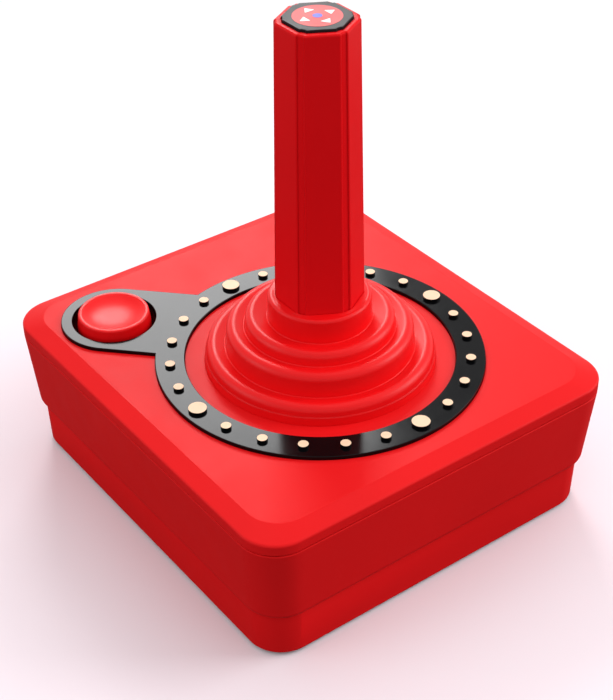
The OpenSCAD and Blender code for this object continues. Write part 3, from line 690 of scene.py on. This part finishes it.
def makeCapMark():
    # A generic mark for a stick that tilts four ways: a round field, an arrowhead towards each side and
    # a dot, each a low prism. The arrowheads and the dot are twice as high as the field.
    c = cap
    angle = np.linspace(0, 2 * math.pi, c["sides"], endpoint=False)[:, None]
    circle = np.hstack([np.cos(angle), np.sin(angle)])
    tip, back = c["arrowAt"] + c["arrowLength"] / 2, c["arrowAt"] - c["arrowLength"] / 2
    half, radius = c["arrowWidth"] / 2, c["arrowRadius"]
    arrow = roundPath([(tip, 0, radius), (back, half, radius), (back, -half, radius)],
                      steps=4, hold=0.02, closed=True)
    stamps = [(c["fieldRadius"] * circle, c["ink"], 0)]
    for turn in np.arange(4) * math.pi / 2:
        spin = np.array([[math.cos(turn), math.sin(turn)], [-math.sin(turn), math.cos(turn)]])
        stamps.append((arrow @ spin, 2 * c["ink"], 1))
    stamps.append((c["dotRadius"] * circle, 2 * c["ink"], 2))
    low = c["topZ"] - c["inkRoot"]
    parts = [raised(outline + stickAxis, (low, c["topZ"] + high)) for outline, high, _ in stamps]
    points, faces, owners = joined(parts)
    mark = addPiece("tiltMark", points, faces, "stick",
                    [paint["inkRed"], paint["inkWhite"], paint["inkBlue"]])
    inks = np.array([ink for _, _, ink in stamps], np.int32)
    mark.data.polygons.foreach_set("material_index", inks[owners])


# boot

boot = {
    "foot": 25.2,
    "footGap": 0.03,             # between the foot and the cover's hole
    "collar": 11.1,
    "collarTop": 50.9,
    "rim": 0.75,
    "rimInset": 1.05,            # where the rim ends, in from the collar and down from its top
    "rimDip": 0.05,
    "thickness": 1.2,
    # the steps from the cover up: radius, height, rounding
    "steps": [(25.0, 36.35, 0.1), (24.8, 36.45, 0.1), (24.35, 39.3, 1.7), (20.5, 38.1, 0.2),
              (20.05, 44.15, 1.7), (16.3, 42.95, 0.2), (15.85, 46.6, 1.55), (11.2, 45.1, 0.2)],
    "insideTighter": 0.6,        # the inside's roundings are this much smaller, down to the least
    "insideLeast": 0.9,
    "splitZ": 40.5,              # the two halves meet on the second riser
    "stickZ": 45.3,              # a height at the collar's foot
    "flange": 2.2,
    "flangeTop": 2.4,            # the flange's two faces, down from the flat top
    "flangeLow": 3.3,
    "neckDepth": 5.4,
    "neckGap": 0.04,             # between the neck and the grip's flats
    "neckCorner": 0.2,           # how far the neck's corners are cut back
    "neckLip": [(0.2, 0.2), (-0.02, 0.18), (-0.08, 0.05)],  # out from the neck, up from the collar's top
    "sides": 240,
}


def bootPaths():
    # The outside runs up the steps and over the rim. The inside is the same path from the first roll on,
    # moved in and down by the rubber's thickness.
    b = boot
    t = b["thickness"]
    outside = [(b["foot"], topZ, 0), *b["steps"], (b["collar"], b["collarTop"], b["rim"]),
               (b["collar"] - b["rimInset"], b["collarTop"] - b["rimDip"], 0)]
    inside = [(b["foot"] - t, topZ - t, 0)]
    inside += [(r - t, z - t, max(radius - b["insideTighter"], b["insideLeast"]))
               for r, z, radius in b["steps"][2:]]
    inside += [(b["collar"] - t, b["collarTop"] - b["neckDepth"], 0)]
    return roundPath(outside, steps=12, hold=0.1), roundPath(inside, steps=8, hold=0.1)


def splitPath(path, height):
    # cuts a path in two at the height that it first rises through, by the share of the step that it lies on
    k = int(np.argmax(path[:, 1] > height))
    low, high = path[k - 1], path[k]
    point = low + (high - low) * (height - low[1]) / (high[1] - low[1])
    return np.vstack([path[:k], point]), np.vstack([point, path[k:]])


def hexRadius(angle, flat, corner):
    # The distance from the axis to a six-sided outline: the flats' distance over the cosine of the angle
    # from the nearest flat's direction, and at most the radius that the corners are cut back to.
    wrapped = (angle + math.pi / 6) % (math.pi / 3) - math.pi / 6
    return np.minimum(flat / np.cos(wrapped), corner)


def makeBoot():
    # Two closed profiles go round the stick's axis: the skirt with its flange, and the collar, whose
    # neck is a six-sided hole for the grip. They meet on the split.
    b = boot
    outside, inside = bootPaths()
    outerLow, outerHigh = splitPath(outside, b["splitZ"])
    innerLow, innerHigh = splitPath(inside, b["splitZ"])
    flangeTop, flangeLow, brim = topZ - b["flangeTop"], topZ - b["flangeLow"], b["foot"] + b["flange"]
    flange = [(brim, flangeLow), (brim, flangeTop), (b["foot"], flangeTop)]
    skirt = np.vstack([flange, outerLow, innerLow[::-1], [(b["foot"] - b["thickness"], flangeLow)]])
    rings = revolve(skirt, stickAxis, b["sides"])
    lower = addPiece("bootSkirt", rings, gridFaces(rings, rowsClosed=True), None,
                     [paint["rubberRed"]], ["boot"])
    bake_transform(lower)
    angle = np.linspace(0, 2 * math.pi, b["sides"], endpoint=False)
    around = np.stack([np.cos(angle), np.sin(angle)], -1)
    hole = hexRadius(angle, grip["footFlat"] + b["neckGap"], grip["footRadius"] - b["neckCorner"])
    lip = [(hole + out, b["collarTop"] + up) for out, up in b["neckLip"]]
    lip.append((hole, b["collarTop"] - b["neckDepth"]))
    neck = [raised(stickAxis + radius[:, None] * around, [z]) for radius, z in lip]
    rings = np.concatenate([revolve(outerHigh, stickAxis, b["sides"]), *neck,
                            revolve(innerHigh[::-1], stickAxis, b["sides"])])
    upper = addPiece("bootCollar", rings, gridFaces(rings, rowsClosed=True), None,
                     [paint["rubberRed"]], ["boot"], sharp=50)
    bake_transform(upper)


# fire button and its spring

button = {
    "radius": 8.3,
    "wall": 1.3,
    "waistDown": 0.4,            # the side turns inwards this far below the flat top
    "waistRadius": 2,
    "rimZ": topZ + 2.6,
    "rimOuter": 7.9,
    "rimInner": 7.15,
    "rimOuterRadius": 0.42,
    "rimInnerRadius": 0.5,
    "dishEdge": 7.0,
    "dishDepth": 1.2,
    "dishPower": 3.4,
    "dishSteps": 22,
    "dishStart": 0.3,            # the rim hands over to the dish this far inside its edge
    "dishSag": 0.02,
    "flangeTop": 29.2,
    "flangeThickness": 1.4,
    "flangeWidth": 1.6,
    "stem": 2.2,
    "stemEdge": 0.5,
    "sides": 160,
}


def makeButton():
    # The dish rises from its middle by its depth times a power of the share of its radius, so that it is
    # nearly flat inside and steep at the rim; the side leans in a little to the rim.
    b = button
    low = nodeBox("fire_button")[0, 2]
    edge, depth, start = b["dishEdge"], b["dishDepth"], b["dishStart"]
    share = np.linspace(1, 0, b["dishSteps"])[:, None]
    dish = np.hstack([edge * share, b["rimZ"] - depth + depth * share ** b["dishPower"]])
    slope = depth * b["dishPower"] / edge
    crown = roundPath([
        (b["radius"], b["flangeTop"], 0),
        (b["radius"], topZ - b["waistDown"], b["waistRadius"]),
        (b["rimOuter"], b["rimZ"], b["rimOuterRadius"]),
        (b["rimInner"], b["rimZ"], b["rimInnerRadius"]),
        (edge - start, b["rimZ"] - start * slope - b["dishSag"], 0),
    ], steps=9, hold=0.1)[:-1]
    roof, flangeLow = b["rimZ"] - depth - b["wall"], b["flangeTop"] - b["flangeThickness"]
    inner, flange = b["radius"] - b["wall"], b["radius"] + b["flangeWidth"]
    stem = [(0, low), (b["stem"] - b["stemEdge"], low), (b["stem"], low + b["stemEdge"]), (b["stem"], roof),
            (inner, roof), (inner, flangeLow), (flange, flangeLow), (flange, b["flangeTop"])]
    profile = np.vstack([stem, crown, dish[dish[:, 0] < edge - start]])
    rings = revolve(profile, buttonAxis, b["sides"])
    addPiece("fireCap", rings, gridFaces(rings), "button", [paint["buttonRed"]], ["fire_button"])


spring = {
    "radius": 4.6,
    "wire": 0.4,
    "turns": 7,
    "ringsPerTurn": 36,
    "sides": 10,
    "travel": 1.5,
}


def makeSpring():
    # A round wire along a helix, one height for each share of its turns. The wire's section stands
    # upright and points away from the axis.
    s = spring
    low, high = nodeBox("button_spring")[:, 2]
    along = np.linspace(0, 1, s["turns"] * s["ringsPerTurn"] + 1)[:, None]
    section = np.linspace(0, 2 * math.pi, s["sides"], endpoint=False)[None, :]
    turn = along * s["turns"] * 2 * math.pi
    radius = s["radius"] + s["wire"] * np.cos(section)
    height = low + s["wire"] + (high - low - 2 * s["wire"]) * along + s["wire"] * np.sin(section)
    x, y = buttonAxis[0] + radius * np.cos(turn), buttonAxis[1] + radius * np.sin(turn)
    rings = np.stack([x, y, height], -1)
    coil = addPiece("returnSpring", rings, closedFaces(rings), "base", [paint["steel"]],
                    ["button_spring"], sharp=60)
    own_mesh(coil)


# finishes of the CAD nodes that stay

nodeFinish = {
    "greyPlastic": ["pivot_frame", "button_guide"],
    "nylon": ["gimbal_ring", "stick_core", "lead_plug"],
    "steel": ["frame_screws", "gimbal_pins", "stick_pins", "guide_screws", "housing_screws",
              "board_screws", "dome_front", "dome_back", "dome_left", "dome_right", "dome_fire",
              "charge_socket"],
    "boardGreen": ["main_board"],
    "chipBlack": ["controller_chip"],
    "cellFoil": ["battery"],
    "foam": ["battery_pad"],
    "leadRed": ["lead_red"],
    "leadBlack": ["lead_black"],
    "footRubber": ["foot_front_left", "foot_front_right", "foot_back_left", "foot_back_right"],
}


def finishNodes():
    # each CAD node's material slots hold its own finish and nothing else
    for finish, nodes in nodeFinish.items():
        for node in nodes:
            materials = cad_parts[node].data.materials
            materials.clear()
            materials.append(paint[finish])


# stage, lamps and camera

stage = {
    "size": 6.0,                 # lengths in metres here
    "seenWithPaintedBounce": (0.88, 0.79, 0.84),  # the floor as the camera sees it, a cool rose that shows in the shade as painted red bounce light from the object
    "litWhite": 0.10,            # and as it lights the object
    "roughness": 0.9,
    "specular": 0.1,
    "clearFrom": 0.13,           # from here outwards it fades to plain white
    "clearTo": 0.30,
    "mirrorFrom": 0.22,          # the same in reflections
    "mirrorTo": 0.40,
    "fill": 0.79,
    "skyLow": 0.20,              # reflections see the white backdrop below the first slope, and the
    "skyHigh": 0.42,             # fill above the second
}


def makeStage():
    # A white floor that takes the object's shadow and turns to plain white away from it, for what the
    # camera sees and for what shows in reflections: the share of white rises with the distance from the
    # middle. It lights the object less than it looks, so the sides stay deep. The camera sees it tinted
    # rose: painted red bounce light that shows in its shade.
    half = stage["size"] / 2
    corners = [(-half, -half, 0), (half, -half, 0), (half, half, 0), (-half, half, 0)]
    mesh = bpy.data.meshes.new("floor")
    mesh.from_pydata(corners, [], [(0, 1, 2, 3)])
    material, nodes, links, shader = newMaterial("floorWhite")
    rays = nodes.new("ShaderNodeLightPath").outputs
    tone = nodes.new("ShaderNodeMix")
    tone.data_type = "RGBA"
    tone.inputs["A"].default_value = (*[stage["litWhite"]] * 3, 1)
    # the rose tint that the camera sees is painted red bounce light in the floor's shade
    tone.inputs["B"].default_value = (*stage["seenWithPaintedBounce"], 1)
    links.new(rays["Is Camera Ray"], tone.inputs["Factor"])
    links.new(tone.outputs["Result"], shader.inputs["Base Color"])
    shader.inputs["Roughness"].default_value = stage["roughness"]
    shader.inputs["Specular IOR Level"].default_value = stage["specular"]
    length = nodes.new("ShaderNodeVectorMath")
    length.operation = "LENGTH"
    links.new(nodes.new("ShaderNodeTexCoord").outputs["Object"], length.inputs[0])
    away = length.outputs["Value"]
    clear = rangeNode(nodes, links, away, 0, 1, stage["clearFrom"], stage["clearTo"])
    mirror = rangeNode(nodes, links, away, 0, 1, stage["mirrorFrom"], stage["mirrorTo"])
    mirrored = mathNode(nodes, links, "ADD", rays["Is Glossy Ray"], rays["Is Transmission Ray"], True)
    seen = mathNode(nodes, links, "MULTIPLY", clear, rays["Is Camera Ray"])
    shown = mathNode(nodes, links, "MULTIPLY", mirror, mirrored)
    glow, blend = nodes.new("ShaderNodeEmission"), nodes.new("ShaderNodeMixShader")
    links.new(mathNode(nodes, links, "ADD", seen, shown, True), blend.inputs["Fac"])
    links.new(shader.outputs["BSDF"], blend.inputs[1])
    links.new(glow.outputs["Emission"], blend.inputs[2])
    links.new(blend.outputs["Shader"], nodes["Material Output"].inputs["Surface"])
    mesh.materials.append(material)
    floor = bpy.data.objects.new("floor", mesh)
    scene.collection.objects.link(floor)


def makeWorld():
    # An even fill. The camera sees plain white, and so do reflections and glass, up to the backdrop's
    # height.
    world = bpy.data.worlds.new("studio")
    scene.world = world
    world.use_nodes = True
    nodes, links = world.node_tree.nodes, world.node_tree.links
    fill, white = nodes["Background"], nodes.new("ShaderNodeBackground")
    for background, strength in ((fill, stage["fill"]), (white, 1)):
        background.inputs["Color"].default_value = (1, 1, 1, 1)
        background.inputs["Strength"].default_value = strength
    rays = nodes.new("ShaderNodeLightPath").outputs
    slope = nodes.new("ShaderNodeSeparateXYZ")
    links.new(nodes.new("ShaderNodeTexCoord").outputs["Generated"], slope.inputs[0])
    backdrop = rangeNode(nodes, links, slope.outputs["Z"], 1, 0, stage["skyLow"], stage["skyHigh"])
    mirrored = mathNode(nodes, links, "ADD", rays["Is Glossy Ray"], rays["Is Transmission Ray"], True)
    shown = mathNode(nodes, links, "MULTIPLY", mirrored, backdrop)
    blend = nodes.new("ShaderNodeMixShader")
    links.new(mathNode(nodes, links, "ADD", rays["Is Camera Ray"], shown, True), blend.inputs["Fac"])
    links.new(fill.outputs["Background"], blend.inputs[1])
    links.new(white.outputs["Background"], blend.inputs[2])
    links.new(blend.outputs["Shader"], nodes["World Output"].inputs["Surface"])


def aimedMatrix(right, up, back, place):
    # a lamp's or camera's matrix: its three directions and its place, in metres, are the columns
    columns = np.eye(4)
    columns[:3] = np.column_stack([right, up, back, place])
    return Matrix(columns.tolist())


lamps = {
    # place and aim in metres, width and height, radiance
    "overhead": {"place": (0.20, 0.10, 1.10), "aim": (0, 0, 0.03), "size": (1.1, 1.1), "radiance": 0.45},
    "rightBox": {"place": (0.85, -0.45, 0.50), "aim": (0, 0, 0.05), "size": (0.6, 0.6), "radiance": 5.30},
    "leftBox": {"place": (-0.90, 0.40, 0.45), "aim": (0, 0, 0.05), "size": (0.6, 0.6), "radiance": 1.50},
    "backBox": {"place": (0.49, 0.87, 0.70), "aim": (0, 0, 0.04), "size": (0.36, 0.36), "radiance": 12.00},
}


def makeLamps():
    # an area lamp's power is its radiance times its area times pi, and it shines from its place to its aim
    for name, lamp in lamps.items():
        data = bpy.data.lights.new(name, "AREA")
        data.shape = "RECTANGLE"
        data.size, data.size_y = lamp["size"]
        data.energy = lamp["radiance"] * lamp["size"][0] * lamp["size"][1] * math.pi
        place, aim = np.array(lamp["place"]), np.array(lamp["aim"])
        back = (place - aim) / np.linalg.norm(place - aim)
        right = np.cross((0, 0, 1), back)
        right = right / np.linalg.norm(right)
        light = bpy.data.objects.new(name, data)
        light.matrix_world = aimedMatrix(right, np.cross(back, right), back, place)
        scene.collection.objects.link(light)


view = {
    "azimuth": math.radians(-36.07),
    "elevation": math.radians(35.952),
    "roll": math.radians(-0.839),
    "distance": 340.3,
    "right": 2.965,              # how far the aimed point lies right of and above the picture's middle
    "up": 0.338,
    "aim": (*stickAxis, topZ + plate["proud"] + studs["height"]),
    "focalPixels": 1564.6,       # the focal length, where the frame's longer side has so many pixels
    "longerSide": 700,
    "sensor": 36,
    "clip": (0.01, 20),
}


def makeCamera():
    # The camera's three directions come from its azimuth and elevation, turned by the roll; its place is
    # the aimed point, moved back by the distance, and left and down by the two offsets.
    v = view
    a, e, r = v["azimuth"], v["elevation"], v["roll"]
    back = np.array([math.sin(a) * math.cos(e), -math.cos(a) * math.cos(e), math.sin(e)])
    level = np.array([math.cos(a), math.sin(a), 0])
    upright = np.cross(back, level)
    right = level * math.cos(r) + upright * math.sin(r)
    up = upright * math.cos(r) - level * math.sin(r)
    place = np.array(v["aim"]) + back * v["distance"] - right * v["right"] - up * v["up"]
    data = bpy.data.cameras.new("camera")
    data.lens = v["focalPixels"] / v["longerSide"] * v["sensor"]
    data.sensor_width = v["sensor"]
    data.clip_start, data.clip_end = v["clip"]
    camera = bpy.data.objects.new("camera", data)
    camera.matrix_world = aimedMatrix(right, up, back, place * millimetre)
    scene.collection.objects.link(camera)
    scene.camera = camera


# everything is made here, in this order

makeCover()
makeWalls()
smoothCopy("plinthShell", "base_tray", "base", paint["housingRed"])
print("housing made")

makePlate()
makeStuds()
print("ring plate and studs made")

makeBoot()
makeSleeve()
makeCap()
makeCapMark()
print("boot and stick made")

makeButton()
makeSpring()
print("fire button made")

finishNodes()
print("CAD nodes finished")

makeStage()
makeWorld()
makeLamps()
makeCamera()
scene.view_settings.view_transform = "Standard"
print("stage, lamps and camera made")

bpy.context.view_layer.update()
